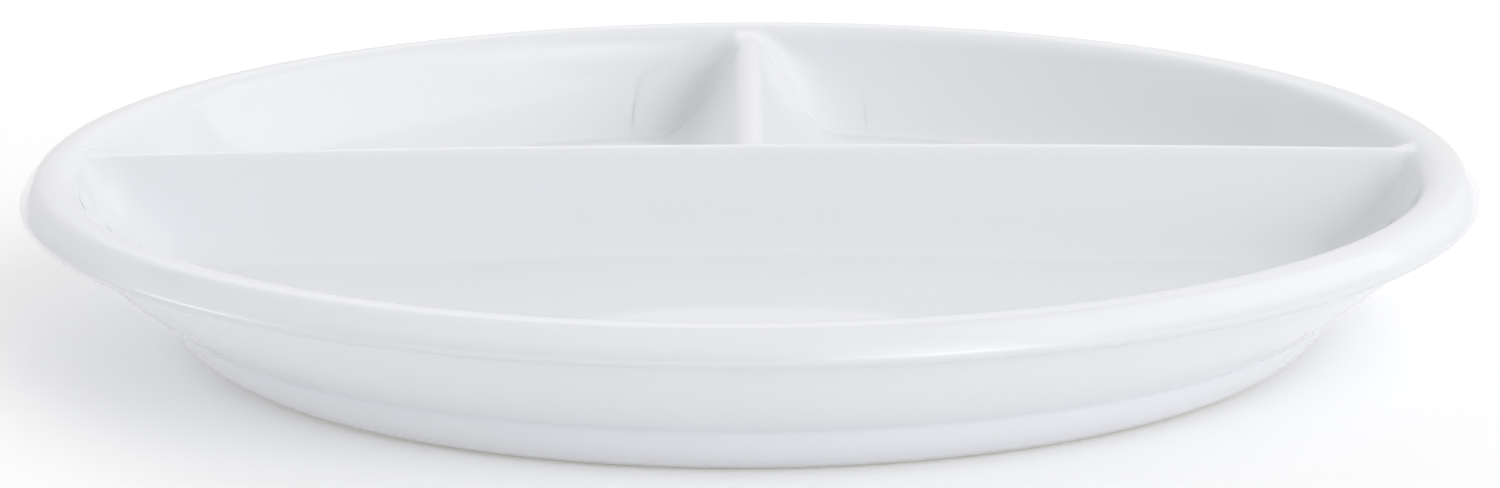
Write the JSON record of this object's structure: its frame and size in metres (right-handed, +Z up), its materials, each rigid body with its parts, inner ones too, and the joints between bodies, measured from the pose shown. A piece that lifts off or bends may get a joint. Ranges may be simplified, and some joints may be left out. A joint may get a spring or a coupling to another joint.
{
  "type": "divided compartment plate",
  "caption": "Round glazed ceramic plate with a rolled rim, a foot ring and ridges in a T that part its well into a large front compartment and smaller rear ones.",
  "frame": {"origin": "middle of the ring-shaped face that the plate stands on, at table height", "axes": "+Z up, out of the plate; -Y towards the large front compartment; +Y towards the two small compartments; +X to the right when seen from the front"},
  "size_m": [0.26, 0.26, 0.0314],
  "materials": {
    "glaze": "glossy clear glaze over a cool white body"
  },
  "bodies": {
    "root": {"rim": "glaze", "side_wall": "glaze", "front_floor": "glaze", "rear_left_floor": "glaze", "rear_right_floor": "glaze", "long_divider": "glaze", "cross_divider": "glaze", "foot_ring": "glaze"}
  },
  "joints": []
}
